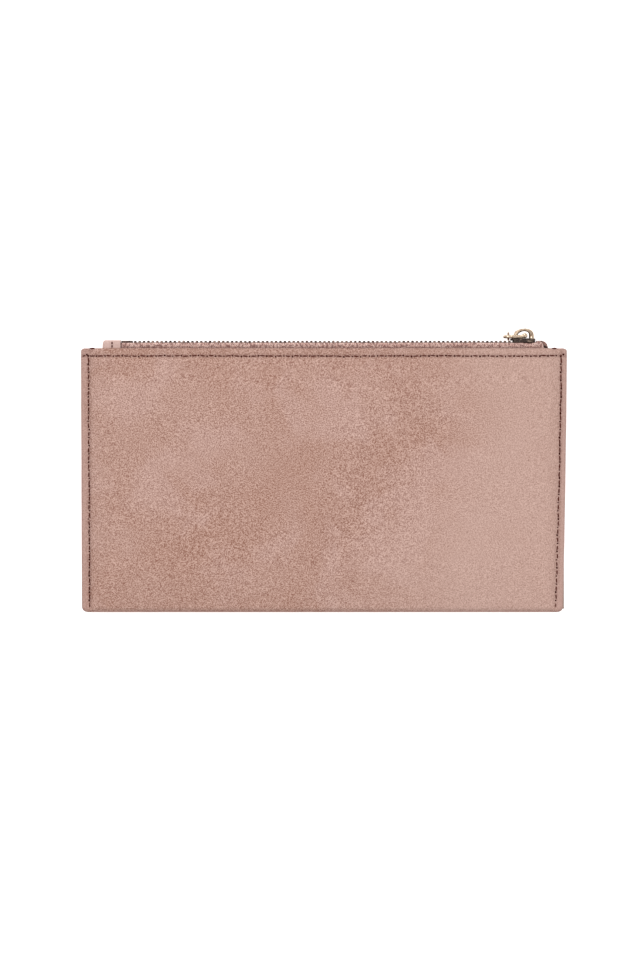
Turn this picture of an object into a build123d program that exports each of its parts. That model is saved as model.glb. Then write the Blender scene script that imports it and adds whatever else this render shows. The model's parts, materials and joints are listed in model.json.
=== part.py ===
from build123d import *
from math import acos, asin, atan2, cos, degrees, hypot, radians, sin, sqrt
import os

# Zip-top wallet, lying on its front panel.
# +X runs along the zip towards its closed end, +Y runs up the panel to the zip, +Z is up.
# The origin is the centre of the front panel's outer face. Sizes are in millimetres.
# Everything is drawn about the mid-plane between the two panels, and lifted when it is written.

# Wallet body
body_width = 197.0
body_height = 107.0
body_thickness = 12.0
side_roll = 12.6            # width over which a panel rolls down to the side margin
side_margin = 3.9           # flat sewn margin beyond the roll
fold_radius = 3.2           # bottom fold
fold_rise = 25.5            # height above the fold where the panel is flat
side_crown = 0.05           # the side roll starts this far above the flat, which it meets at an edge
mouth_ease = 23.5           # height below the mouth where the panel starts to close in
bottom_corner = 2.0
top_corner = 1.5

# Leather, boards and lining, as layers inwards from the outer face
leather = 0.9
turned_edge = 0.5           # skived leather turned in at the mouth
hem_depth = 10.0
seam_gap = 0.5              # room for the lining's flange between the two margins
board_thickness = 0.5
board_side = 4.0            # board's edge to the start of the side roll
board_bottom = 12.0
lining_thickness = 0.2
flange_start = 0.82         # part of the side roll before the lining's flange begins
flange_setback = 1.2        # lining flange's edge to the leather's edge
lining_top_gap = 3.5        # lining's top edge to the mouth

# Card pockets on the back wall
pocket_count = 3
pocket_sheet = 0.35
pocket_slot = 0.8
pocket_step = 14.0
first_pocket_drop = 17.5    # mouth's edge to the tallest pocket's top
lowest_pocket_foot = 11.5   # fold to the lowest pocket's foot
pocket_side_clear = 0.4
pocket_seam_width = 0.8

# Seams
top_seam_drop = 3.2         # mouth's edge to the seam line
side_seam_inset = 2.9
groove_width = 0.9
groove_depth = 0.4
thread_width = 0.5
thread_proud_gap = 0.05     # thread's top below the leather's face
top_stitch_pitch = 3.45
side_stitch_pitch = 3.3
stitch_share = 0.72         # part of a pitch that the thread shows
seam_end_gap = 1.4

# Zip: tapes, teeth and stops
tape_thickness = 0.4
tape_bend = 0.9
tape_bend_gap = 0.2         # teeth to where each tape turns
tape_hem_gap = 0.5          # hem's lower edge to the tape's
tape_in_tab = 1.8           # tab's left end to the tapes' ends
tape_right_inset = 7.5      # body's right side to the tapes' ends
tape_end_corner = 2.0
chain_height = 2.2          # mouth's edge to the middle of the chain
chain_half_width = 2.0
bead_radius = 0.5
bead_offset = 1.05          # bead's centre to the mid-plane
tooth_pitch = 1.784
tooth_length = 0.85
tooth_half_height = 0.8
head_reach = 0.55           # how far a head passes the mid-plane
head_half_height = 0.45
leg_start = 0.45
bottom_stop_length = 4.6
stop_gap = 0.3              # stops to their neighbours along the zip
top_stop_length = 1.9
stop_wall = 0.1
top_stop_inner = 0.5        # mid-plane to each top stop

# Leather tab over the tapes' left ends
tab_wall = 0.8
tab_inset = 8.7             # body's left side to the tab
tab_length = 7.4
tab_corner = 1.0
tab_stitch_pitch = 1.3
tab_stitch_inset = 4.0      # tab's left end to its stitches

# Slider
slider_inset = 12.7         # body's right side to the slider's nose
slider_length = 10.2
slider_plate = 0.8
slider_clear = 0.15         # slider's walls to the teeth
slider_flare = 0.9          # how much wider the nose is than the tail, on each side
slider_waist = 0.45         # part of the length that stays narrow
slider_shoulder = 0.2       # part of the length that stays wide
plate_rim = 0.4             # rounding, as a part of the plate's thickness
slider_corner = 1.2
lower_plate_clear = 0.3     # lower plate to the tapes
flange_wall = 0.35
flange_clear = 0.25         # flanges to the teeth
rail_wall = 0.25
flange_tape_gap = 0.2
divider_half_width = 0.4
divider_length = 3.6
divider_inset = 1.1         # nose to divider
divider_rim = 0.8           # rounding, as a part of the half width

# Bail on the slider
bail_inset = 1.4            # slider's tail to the bail's leg
bail_nose_inset = 0.4       # bail's other leg to the slider's nose
bail_height = 4.15
bail_band = 1.1
bail_width = 2.2
bail_shoulder = 3.0
bail_rim = 0.3              # rounding, as a part of the band

# Pull link and ring
pull_gap = 0.15             # link to the slider's plate
pull_nose_radius = 2.2
pull_thickness = 1.2
pull_edge = 0.3
pivot_radius = 1.05
pivot_inset = 5.9           # slider's tail to the link's end bar
slot_clear = 0.35           # link's rails to the bail's sides
slot_sweep_clear = 0.2      # slot's far end to the bail, as the link swings over it
slot_to_eye = 1.15
slot_round = 0.6            # rounding, as a part of the slot's half width
slot_to_pivot = 0.3         # slot's near end to the pivot, as a part of the bar's radius
eye_radius = 0.65
ring_radius = 1.95
ring_wire = 0.7
ring_lift = 0.3             # ring's centre above the link's middle

# Worked out from the values above
half_width = body_width / 2
half_height = body_height / 2
half_thick = body_thickness / 2
margin_half = leather + seam_gap / 2
flat_x = half_width - side_margin - side_roll
crown_half = half_thick + side_crown
side_drop = crown_half - margin_half
seam_start = flat_x + side_roll * flange_start
side_radius = (side_roll**2 + side_drop**2) / (2 * side_drop)
hem_layers = leather + turned_edge
bend_z = chain_half_width + tape_bend_gap
tape_face = bend_z + tape_bend + tape_thickness / 2
mouth_half = tape_face + hem_layers
lining_layer = hem_layers + tape_thickness
mouth_drop = half_thick - mouth_half
mouth_radius = (mouth_ease**2 + mouth_drop**2) / (2 * mouth_drop)
fold_y = -half_height + fold_radius
rise_y = -half_height + fold_rise
rise_span = rise_y - fold_y
rise_radius = (rise_span**2 + half_thick**2 - fold_radius**2) / (2 * (half_thick - fold_radius))
chain_y = half_height + chain_height
teeth_top = chain_y + tooth_half_height
plate_bottom = teeth_top + slider_clear
plate_top = plate_bottom + slider_plate
tab_left = -half_width + tab_inset
tab_right = tab_left + tab_length
tape_left = tab_left + tape_in_tab
tape_right = half_width - tape_right_inset
bottom_stop_left = tab_right + stop_gap
bottom_stop_right = bottom_stop_left + bottom_stop_length
slider_right = half_width - slider_inset
slider_left = slider_right - slider_length
tail_half = chain_half_width + flange_clear + flange_wall
nose_half = tail_half + slider_flare
bail_left = slider_left + bail_inset
bail_right = slider_right - bail_nose_inset
pull_bottom = plate_top + pull_gap
pull_middle = pull_bottom + pull_thickness / 2
pivot_y = pull_bottom + pivot_radius
pivot_x = slider_left + pivot_inset
shoulder_reach = bail_shoulder * (1 - sqrt(0.5))
slot_reach = slot_sweep_clear + max(
    hypot(pivot_x - bail_left, pivot_y - plate_top),
    hypot(pivot_x - bail_left - shoulder_reach, plate_top + bail_height - shoulder_reach - pivot_y))
eye_x = pivot_x - slot_reach - slot_to_eye - eye_radius
ring_arm = ring_radius - ring_wire / 2
span = 4 * body_width       # longer than any piece, for cutting
tiny = 1e-3                 # an edge thinner than this lies level
near = 0.1


def slab(x0, x1, y0, y1, z0, z1):
    return Pos((x0 + x1) / 2, (y0 + y1) / 2, (z0 + z1) / 2) * Box(x1 - x0, y1 - y0, z1 - z0)


def below(y):
    return slab(-span, span, -span, y, -span, span)


def width_section(inset):
    """Section across the panels, inset from the outer face: flat, rolled sides, thin margins."""
    radius = side_radius - inset
    centre_z = crown_half - side_radius
    margin = max(margin_half - inset, 0)
    sweep = degrees(acos((margin - centre_z) / radius))
    end_x = flat_x + radius * sin(radians(sweep))
    top = crown_half - inset
    upper = Line((-flat_x, top), (flat_x, top))
    upper += CenterArc((flat_x, centre_z), radius, 90, -sweep)
    upper += CenterArc((-flat_x, centre_z), radius, 90, sweep)
    outline = upper + mirror(upper, about=Plane.XZ)
    if margin:
        for side in (-1, 1):
            outline += Polyline(
                (side * end_x, margin),
                (side * half_width, margin),
                (side * half_width, -margin),
                (side * end_x, -margin),
            )
    return make_face(outline.edges())


def height_section(inset, top_y):
    """Section up the panels: bottom fold, rise, flat, and easing in towards the mouth."""
    rise_z = half_thick - rise_radius
    turn = 180 - degrees(atan2(rise_radius - half_thick, rise_span))
    ease_y = half_height - mouth_ease
    ease_radius = mouth_radius - inset
    sweep = degrees(asin((top_y - ease_y) / ease_radius))
    end_z = half_thick - mouth_radius + ease_radius * cos(radians(sweep))
    upper = CenterArc((fold_y, 0), fold_radius - inset, 180, turn - 180)
    upper += CenterArc((rise_y, rise_z), rise_radius - inset, turn, 90 - turn)
    upper += Line((rise_y, half_thick - inset), (ease_y, half_thick - inset))
    upper += CenterArc((ease_y, half_thick - mouth_radius), ease_radius, 90, -sweep)
    outline = upper + mirror(upper, about=Plane.XZ) + Line((top_y, end_z), (top_y, -end_z))
    return make_face(outline.edges())


def layer(inset, top_y=half_height):
    """The wallet's outer shape, inset by a number of layers."""
    across = extrude(Plane.XZ * width_section(inset), span / 2, both=True)
    up = extrude(Plane.YZ * height_section(inset, top_y), span / 2, both=True)
    return across & up


def plan_outline():
    outline = Rectangle(body_width, body_height)
    outline = fillet(outline.vertices().group_by(Axis.Y)[0], bottom_corner)
    outline = fillet(outline.vertices().group_by(Axis.Y)[-1], top_corner)
    return extrude(outline, span / 2, both=True)


def leather_wrap(grooves):
    hem_y = half_height - hem_depth
    wrap = layer(0) - layer(hem_layers, half_height + 1)
    wrap -= layer(leather, half_height + 1) & below(hem_y)
    slit_y = -half_height + leather
    for side in (-1, 1):
        inner, outer = sorted((side * seam_start, side * (half_width + 1)))
        wrap -= slab(inner, outer, slit_y, span, -seam_gap / 2, seam_gap / 2)
    return (wrap & plan_outline()) - grooves


def stiffener(side):
    edge = flat_x - board_side
    z0, z1 = sorted((0, side * span))
    board_y = -half_height + board_bottom
    window = slab(-edge, edge, board_y, half_height - hem_depth, z0, z1)
    return (layer(leather) - layer(leather + board_thickness)) & window


def lining_bag():
    top_y = half_height - lining_top_gap
    bag = (layer(lining_layer) - layer(lining_layer + lining_thickness, half_height + 1)) & below(top_y)
    flange_y = -half_height + leather + seam_gap
    reach = half_width - flange_setback
    cavity = layer(lining_layer + lining_thickness, half_height + 1)
    for side in (-1, 1):
        x0, x1 = sorted((side * seam_start, side * reach))
        flange = slab(x0, x1, flange_y, top_y, -seam_gap / 2, seam_gap / 2)
        bag += flange - cavity
    return bag


def pocket_level(index):
    """Height of a pocket sheet's under face, counted inwards from the back wall's lining."""
    wall = half_thick - lining_layer - lining_thickness
    return wall - (index + 1) * (pocket_slot + pocket_sheet)


def pocket_span(index):
    top_y = half_height - first_pocket_drop - index * pocket_step
    depth = body_height - first_pocket_drop - lowest_pocket_foot - (pocket_count - 1) * pocket_step
    return top_y - depth, top_y


def pocket_sheet_solid(index):
    low, high = pocket_span(index)
    level = pocket_level(index)
    sheet = slab(-span, span, low, high, level, level + pocket_sheet)
    return sheet & layer(lining_layer + lining_thickness + pocket_side_clear)


def pocket_seams():
    """Sewn lines that close the pockets at the bottom and part them into two columns."""
    seams = []
    for index in range(pocket_count):
        low, high = pocket_span(index)
        under = pocket_level(index) + pocket_sheet
        foot = slab(-flat_x, flat_x, low, low + pocket_seam_width, under, under + pocket_slot)
        half = pocket_seam_width / 2
        seams.append(foot + slab(-half, half, low, high, under, under + pocket_slot))
    cavity = layer(lining_layer + lining_thickness)
    return Compound([solid for seam in seams for solid in (seam & cavity).solids()])


def stitch_centres(length, pitch):
    count = int((length - 2 * seam_end_gap) // pitch)
    return [(k - (count - 1) / 2) * pitch for k in range(count)]


def top_seam_y():
    return half_height - top_seam_drop


def seam_grooves():
    """Shallow channels pressed into both faces along the seams."""
    skin = layer(0) - layer(groove_depth)
    half = groove_width / 2
    y = top_seam_y()
    strips = slab(-half_width, half_width, y - half, y + half, -span, span)
    grooves = skin & strips
    for side in (-1, 1):
        x = side * (half_width - side_seam_inset)
        grooves += skin & slab(x - half, x + half, -half_height + fold_radius, y, -span, span)
    return grooves


def top_seam_thread(side, skin):
    z0, z1 = sorted((0, side * span))
    reach = thread_width / 2
    half = top_stitch_pitch * stitch_share / 2
    y = top_seam_y()
    dashes = [slab(x - half, x + half, y - reach, y + reach, z0, z1)
              for x in stitch_centres(body_width, top_stitch_pitch)]
    return dashes_in(dashes, skin)


def side_seam_thread(side, skin):
    x = side * (half_width - side_seam_inset)
    reach = thread_width / 2
    half = side_stitch_pitch * stitch_share / 2
    low = -half_height + fold_radius
    high = top_seam_y() - groove_width
    middle = (low + high) / 2
    dashes = [slab(x - reach, x + reach, middle + y - half, middle + y + half, -span, span)
              for y in stitch_centres(high - low, side_stitch_pitch)]
    return dashes_in(dashes, skin)


def dashes_in(dashes, skin):
    pieces = []
    for dash in dashes:
        pieces += list((skin & dash).solids())
    return Compound(pieces)


def zip_tape(side):
    """One woven tape: sewn in the hem, turned over at the mouth, with a bead along its edge."""
    z0, z1 = sorted((0, side * span))
    hem = (layer(hem_layers) - layer(lining_layer, half_height + 1))
    hem &= slab(tape_left, tape_right, half_height - hem_depth + tape_hem_gap, half_height, z0, z1)
    bend_y = chain_y - tape_bend
    half = tape_thickness / 2
    rise = Rectangle(bend_y - half_height, tape_thickness)
    rise = Pos((bend_y + half_height) / 2, bend_z + tape_bend) * rise
    flat = Pos(chain_y, (bend_z + bead_offset) / 2) * Rectangle(tape_thickness, bend_z - bead_offset)
    elbow = Circle(tape_bend + half) - Circle(tape_bend - half)
    elbow &= Pos(tape_bend, tape_bend) * Rectangle(2 * tape_bend, 2 * tape_bend)
    section = rise + flat + Pos(bend_y, bend_z) * elbow + Pos(chain_y, bead_offset) * Circle(bead_radius)
    if side < 0:
        section = mirror(section, about=Plane.XZ)
    strip = extrude(Plane.YZ * section, tape_right - tape_left)
    tape = Pos(tape_left, 0, 0) * strip + hem
    corner = slab(tape_right - tape_end_corner, tape_right + 1,
                  chain_y + tape_thickness / 2 - tape_end_corner, span, -span, span)
    round_end = Pos(tape_right - tape_end_corner, chain_y + tape_thickness / 2 - tape_end_corner)
    corner -= round_end * Cylinder(tape_end_corner, span)
    return tape - corner


def tooth_profile():
    """A tooth in (Y, Z): a head past the mid-plane, and two legs closed on the tape's bead."""
    head = Pos(0, (bead_offset - head_reach) / 2)
    head *= Rectangle(2 * head_half_height, bead_offset + head_reach)
    legs = Pos(0, (leg_start + chain_half_width) / 2)
    legs *= Rectangle(2 * tooth_half_height, chain_half_width - leg_start)
    grip = Circle(bead_radius) + Pos(0, chain_half_width / 2) * Rectangle(tape_thickness, chain_half_width)
    return head + legs - Pos(0, bead_offset) * grip


def teeth(side):
    """One row of teeth; the two rows are half a pitch apart."""
    profile = tooth_profile()
    if side < 0:
        profile = mirror(profile, about=Plane.XZ)
    tooth = extrude(Plane.YZ * (Pos(chain_y, 0) * profile), tooth_length)
    first = bottom_stop_right + stop_gap
    first += 0 if side > 0 else tooth_pitch / 2
    last = slider_right - divider_inset - divider_length - tooth_length - slider_clear
    count = int((last - first) // tooth_pitch) + 1
    return Compound([Pos(first + k * tooth_pitch, 0, 0) * tooth for k in range(count)])


def bottom_stop(tapes):
    reach = chain_half_width - stop_wall / 2
    height = tooth_half_height + stop_wall / 2
    block = slab(bottom_stop_left, bottom_stop_right, chain_y - height, chain_y + height, -reach, reach)
    block = fillet(block.edges().filter_by(Axis.X).group_by(Axis.Y)[-1], tape_thickness)
    return block - tapes


def top_stop(side, tape):
    reach = chain_half_width - stop_wall
    z0, z1 = sorted((side * top_stop_inner, side * reach))
    x0 = slider_right + stop_gap
    height = tooth_half_height
    block = slab(x0, x0 + top_stop_length, chain_y - height, chain_y + height, z0, z1)
    return block - tape


def end_tab(tapes):
    """Folded leather saddle over the tapes' left ends, standing on the hem."""
    top = chain_y + bead_radius + tab_wall
    outer = tape_face + tab_wall
    saddle = slab(tab_left, tab_right, half_height, top, -outer, outer)
    saddle = fillet(saddle.edges().filter_by(Axis.X).group_by(Axis.Y)[-1], tab_corner)
    left_edges = saddle.edges().filter_by(Axis.Z).group_by(Axis.X)[0]
    saddle = fillet(left_edges.group_by(Axis.Y)[-1], tab_corner)
    hollow_top = chain_y + tape_thickness / 2
    hollow = slab(tape_left, tab_right + 1, half_height - 1, hollow_top, -tape_face, tape_face)
    bend = tape_bend + tape_thickness / 2
    hollow = fillet(hollow.edges().filter_by(Axis.X).group_by(Axis.Y)[-1], bend)
    return saddle - hollow - tapes


def end_tab_thread():
    """Two stitches on each face of the tab, sunk in its surface."""
    outer = tape_face + tab_wall
    half = thread_width / 2
    sunk = thread_proud_gap
    pieces = []
    for side in (-1, 1):
        z0, z1 = sorted((side * (outer - groove_depth), side * (outer - sunk)))
        for k in (0, 1):
            low = half_height + thread_width / 2 + k * tab_stitch_pitch
            x = tab_left + tab_stitch_inset
            pieces.append(slab(x - half, x + half, low,
                               low + tab_stitch_pitch * stitch_share, z0, z1))
    return Compound(pieces)


def slider_plan():
    """Slider's outline in (X, Z): narrow tail, wide rounded nose."""
    widen_x = slider_left + slider_length * slider_waist
    outline = Polyline(
        (slider_left, -tail_half), (widen_x, -tail_half),
        (slider_right - slider_length * slider_shoulder, -nose_half), (slider_right, -nose_half),
        (slider_right, nose_half), (slider_right - slider_length * slider_shoulder, nose_half),
        (widen_x, tail_half), (slider_left, tail_half), close=True)
    face = make_face(outline)
    ends = face.vertices().group_by(Axis.X)
    face = fillet(ends[0], slider_corner)
    return fillet(face.vertices().group_by(Axis.X)[-1], slider_corner)


def drawn_up(face, low, high):
    """Extrude a face drawn in (X, Z) between two heights in Y."""
    return Pos(0, high, 0) * extrude(Plane.XZ * face, high - low)


def slider_body():
    plan = slider_plan()
    top = drawn_up(plan, plate_bottom, plate_top)
    top = fillet(top.faces().sort_by(Axis.Y)[-1].edges(), slider_plate * plate_rim)
    flange_low = chain_y + tape_thickness / 2 + flange_tape_gap
    wall = drawn_up(plan - offset(plan, -flange_wall), flange_low, plate_bottom)
    ends = slider_corner
    wall &= slab(slider_left + ends, slider_right - ends, -span, span, -span, span)
    low_top = chain_y - tooth_half_height - slider_clear
    low_half = tape_face - tape_thickness - lower_plate_clear
    low = slab(slider_left, slider_right, low_top - slider_plate, low_top, -low_half, low_half)
    low = fillet(low.edges().filter_by(Axis.Y), slider_corner)
    rail_high = chain_y - tape_thickness / 2 - flange_tape_gap - slider_clear
    body = top + wall + low
    for side in (-1, 1):
        z0, z1 = sorted((side * (low_half - rail_wall), side * low_half))
        body += slab(slider_left + ends, slider_right - ends, low_top, rail_high, z0, z1)
    x1 = slider_right - divider_inset
    post = slab(x1 - divider_length, x1, low_top, plate_bottom, -divider_half_width, divider_half_width)
    body += fillet(post.edges().filter_by(Axis.Y), divider_half_width * divider_rim)
    return body


def slider_bail():
    """Arch along the slider that the pull link hangs in."""
    x0, x1, y0, y1 = bail_left, bail_right, plate_top, plate_top + bail_height
    block = Pos((x0 + x1) / 2, (y0 + y1) / 2) * Rectangle(x1 - x0, y1 - y0)
    block = fillet(block.vertices().group_by(Axis.Y)[-1], bail_shoulder)
    hole_width = x1 - x0 - 2 * bail_band
    hole = Pos((x0 + x1) / 2, (y0 + y1) / 2 - bail_band) * Rectangle(hole_width, y1 - y0)
    hole = fillet(hole.vertices().group_by(Axis.Y)[-1], bail_shoulder - bail_band)
    arch = extrude(block - hole, bail_width / 2, both=True)
    rims = arch.edges().filter_by(lambda e: e.bounding_box().size.Z < tiny
                                  and e.center().Y > plate_top + near)
    return fillet(rims, bail_band * bail_rim)


def pull_link():
    """Flat link: a rounded nose with an eye, a slot over the bail's leg, a round end bar."""
    half = pull_nose_radius
    plan = Pos(eye_x, 0) * Circle(half)
    plan += Pos((eye_x + pivot_x) / 2, 0) * Rectangle(pivot_x - eye_x, 2 * half)
    slot_half = bail_width / 2 + slot_clear
    slot_x0 = pivot_x - slot_reach
    slot_x1 = pivot_x - pivot_radius * slot_to_pivot
    slot = Pos((slot_x0 + slot_x1) / 2, 0) * Rectangle(slot_x1 - slot_x0, 2 * slot_half)
    slot = fillet(slot.vertices().group_by(Axis.X)[0], slot_half * slot_round)
    plan -= slot
    plan -= Pos(eye_x, 0) * Circle(eye_radius)
    plate = drawn_up(plan, pull_bottom, pull_bottom + pull_thickness)
    rims = plate.edges().filter_by(
        lambda e: e.bounding_box().size.Y < tiny and e.center().X < slot_x1 - near)
    plate = fillet(rims, pull_edge)
    bar = Pos(pivot_x, pivot_y, 0) * Cylinder(pivot_radius, 2 * half)
    bar = chamfer(bar.edges(), pull_edge)
    return plate + bar


def pull_ring():
    """Small wire ring through the link's eye, hanging over the link's front side."""
    ring = Rot(0, 90, 0) * Torus(ring_arm, ring_wire / 2)
    return Pos(eye_x, pull_middle + ring_lift, -ring_arm) * ring


def make_parts():
    grooves = seam_grooves()
    skin = layer(thread_proud_gap) - layer(groove_depth)
    tapes = {side: zip_tape(side) for side in (-1, 1)}
    parts = {
        "leather_wrap": leather_wrap(grooves),
        "back_stiffener": stiffener(1),
        "front_stiffener": stiffener(-1),
        "lining_bag": lining_bag(),
        "pocket_seams": pocket_seams(),
        "zipper_tape_back": tapes[1],
        "zipper_tape_front": tapes[-1],
        "zipper_teeth_back": teeth(1),
        "zipper_teeth_front": teeth(-1),
        "zipper_bottom_stop": bottom_stop(tapes[1] + tapes[-1]),
        "zipper_top_stop_back": top_stop(1, tapes[1]),
        "zipper_top_stop_front": top_stop(-1, tapes[-1]),
        "top_seam_thread_back": top_seam_thread(1, skin),
        "top_seam_thread_front": top_seam_thread(-1, skin),
        "side_seam_thread_left": side_seam_thread(-1, skin),
        "side_seam_thread_right": side_seam_thread(1, skin),
        "slider_body": slider_body(),
        "slider_bail": slider_bail(),
        "pull_link": pull_link(),
        "pull_ring": pull_ring(),
    }
    thread = end_tab_thread()
    parts["zipper_end_tab"] = end_tab(tapes[1] + tapes[-1]) - thread
    parts["end_tab_thread"] = thread
    for index, name in enumerate(("upper", "middle", "lower")[:pocket_count]):
        parts["card_pocket_" + name] = pocket_sheet_solid(index)
    return parts


os.makedirs("parts", exist_ok=True)
for name, piece in make_parts().items():
    solids = [Pos(0, 0, half_thick) * solid for solid in piece.solids()]
    export_step(solids[0] if len(solids) == 1 else Compound(solids), "parts/" + name + ".step")
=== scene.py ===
import bpy
import bmesh
import json
import math
import random
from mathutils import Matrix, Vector, noise


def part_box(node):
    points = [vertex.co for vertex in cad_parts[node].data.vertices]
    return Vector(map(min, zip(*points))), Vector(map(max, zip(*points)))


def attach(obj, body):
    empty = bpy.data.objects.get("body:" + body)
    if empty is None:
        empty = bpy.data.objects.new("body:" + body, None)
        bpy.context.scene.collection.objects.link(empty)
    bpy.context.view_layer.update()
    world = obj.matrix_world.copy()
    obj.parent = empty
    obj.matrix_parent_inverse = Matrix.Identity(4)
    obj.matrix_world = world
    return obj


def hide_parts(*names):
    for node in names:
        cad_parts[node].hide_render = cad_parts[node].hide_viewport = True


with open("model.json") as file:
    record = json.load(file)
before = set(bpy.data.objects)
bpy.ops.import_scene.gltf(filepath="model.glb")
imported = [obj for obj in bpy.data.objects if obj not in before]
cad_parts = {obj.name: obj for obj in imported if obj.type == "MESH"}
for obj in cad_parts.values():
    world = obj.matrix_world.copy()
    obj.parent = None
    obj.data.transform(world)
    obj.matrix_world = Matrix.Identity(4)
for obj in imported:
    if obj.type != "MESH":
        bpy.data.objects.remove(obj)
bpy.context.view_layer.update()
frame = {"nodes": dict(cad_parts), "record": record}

mm = 0.001
wrapLow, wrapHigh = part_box("leather_wrap")
midZ = (wrapLow.z + wrapHigh.z) / 2
halfThick = (wrapHigh.z - wrapLow.z) / 2
mouthY = wrapHigh.y
baseY = wrapLow.y


def smooth(value, low, high):
    t = min(max((value - low) / (high - low), 0.0), 1.0)
    return t * t * (3 - 2 * t)


def bump(value, centre, width):
    return math.exp(-((value - centre) / width) ** 2)


def wander(x, y, size, seed):
    # slow random height, about -1 to 1
    return noise.noise(Vector((x / size, y / size, seed)))


def finish(name, bm, material, body, smoothShade=True):
    mesh = bpy.data.meshes.new(name)
    bm.to_mesh(mesh)
    bm.free()
    mesh.materials.append(material)
    for face in mesh.polygons:
        face.use_smooth = smoothShade
    obj = bpy.data.objects.new(name, mesh)
    bpy.context.scene.collection.objects.link(obj)
    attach(obj, body)
    return obj


def solidify(obj, thickness, group=None):
    mod = obj.modifiers.new("thickness", "SOLIDIFY")
    mod.thickness = thickness
    mod.offset = -1.0
    mod.use_even_offset = False
    if group:
        mod.vertex_group = group


def sheetGrid(columns, rows, place):
    # a grid whose every point is put in place by its column and row
    bm = bmesh.new()
    bmesh.ops.create_grid(bm, x_segments=columns, y_segments=rows, size=1.0)
    for vert in bm.verts:
        column = round((vert.co.x + 1) / 2 * columns)
        row = round((vert.co.y + 1) / 2 * rows)
        vert.co = place(column, row)
    bmesh.ops.recalc_face_normals(bm, faces=bm.faces)
    return bm


def newMaterial(name):
    material = bpy.data.materials.new(name)
    material.use_nodes = True
    tree = material.node_tree
    tree.nodes.clear()
    output = tree.nodes.new("ShaderNodeOutputMaterial")
    shader = tree.nodes.new("ShaderNodeBsdfPrincipled")
    tree.links.new(shader.outputs["BSDF"], output.inputs["Surface"])
    return material, tree, shader


def feed(tree, socket, value):
    # a link from another node, or a constant
    if isinstance(value, bpy.types.NodeSocket):
        tree.links.new(value, socket)
    else:
        socket.default_value = value


def addNode(tree, kind, inputs=None, **settings):
    node = tree.nodes.new(kind)
    for key, value in settings.items():
        setattr(node, key, value)
    for key, value in (inputs or {}).items():
        feed(tree, node.inputs[key], value)
    return node


def mixColours(tree, factor, first, second, blend="MIX"):
    node = tree.nodes.new("ShaderNodeMix")
    node.data_type = "RGBA"
    node.blend_type = blend
    # the node's colour sockets come after its plain and vector ones
    for index, value in ((0, factor), (6, first), (7, second)):
        feed(tree, node.inputs[index], value)
    return node.outputs[2]


def mathNode(tree, operation, first, second=0.0):
    node = tree.nodes.new("ShaderNodeMath")
    node.operation = operation
    for index, value in ((0, first), (1, second)):
        feed(tree, node.inputs[index], value)
    return node.outputs[0]


def remap(tree, value, low, high, toLow=0.0, toHigh=1.0):
    node = addNode(tree, "ShaderNodeMapRange", {"Value": value, "From Min": low, "From Max": high,
                                                "To Min": toLow, "To Max": toHigh})
    return node.outputs["Result"]


def objectPlace(tree, scale=(1, 1, 1), turn=(0, 0, 0)):
    coordinates = addNode(tree, "ShaderNodeTexCoord")
    mapping = addNode(tree, "ShaderNodeMapping", {"Vector": coordinates.outputs["Object"],
                                                  "Scale": scale, "Rotation": turn})
    return mapping.outputs["Vector"]


def noiseNode(tree, place, perMetre, detail=2.0, roughness=0.5, distortion=0.0):
    node = addNode(tree, "ShaderNodeTexNoise", {"Vector": place, "Scale": perMetre, "Detail": detail,
                                                "Roughness": roughness, "Distortion": distortion})
    return node.outputs["Fac"]


def srgb(red, green, blue):
    # screen colour, 0 to 255, to the linear value that a shader takes
    values = [channel / 255 for channel in (red, green, blue)]
    return tuple(c / 12.92 if c <= 0.04045 else ((c + 0.055) / 1.055) ** 2.4 for c in values) + (1.0,)


def makeGrainGroup():
    # fine nap: a speckle mask and a height, from a place and a size
    group = bpy.data.node_groups.new("napGrain", "ShaderNodeTree")
    group.interface.new_socket("Place", in_out="INPUT", socket_type="NodeSocketVector")
    group.interface.new_socket("Per Metre", in_out="INPUT", socket_type="NodeSocketFloat")
    group.interface.new_socket("Speckle", in_out="OUTPUT", socket_type="NodeSocketFloat")
    group.interface.new_socket("Height", in_out="OUTPUT", socket_type="NodeSocketFloat")
    start = group.nodes.new("NodeGroupInput")
    end = group.nodes.new("NodeGroupOutput")
    fine = addNode(group, "ShaderNodeTexNoise", {"Vector": start.outputs["Place"],
                                                 "Scale": start.outputs["Per Metre"],
                                                 "Detail": 3.0, "Roughness": 0.65})
    broadScale = mathNode(group, "MULTIPLY", start.outputs["Per Metre"], 0.7)
    broad = addNode(group, "ShaderNodeTexNoise", {"Vector": start.outputs["Place"], "Scale": broadScale,
                                                  "Detail": 2.0, "Roughness": 0.6, "Distortion": 0.6})
    together = mathNode(group, "ADD", mathNode(group, "MULTIPLY", fine.outputs["Fac"], 0.66),
                        mathNode(group, "MULTIPLY", broad.outputs["Fac"], 0.34))
    group.links.new(remap(group, together, 0.42, 0.58), end.inputs["Speckle"])
    group.links.new(together, end.inputs["Height"])
    return group


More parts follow.
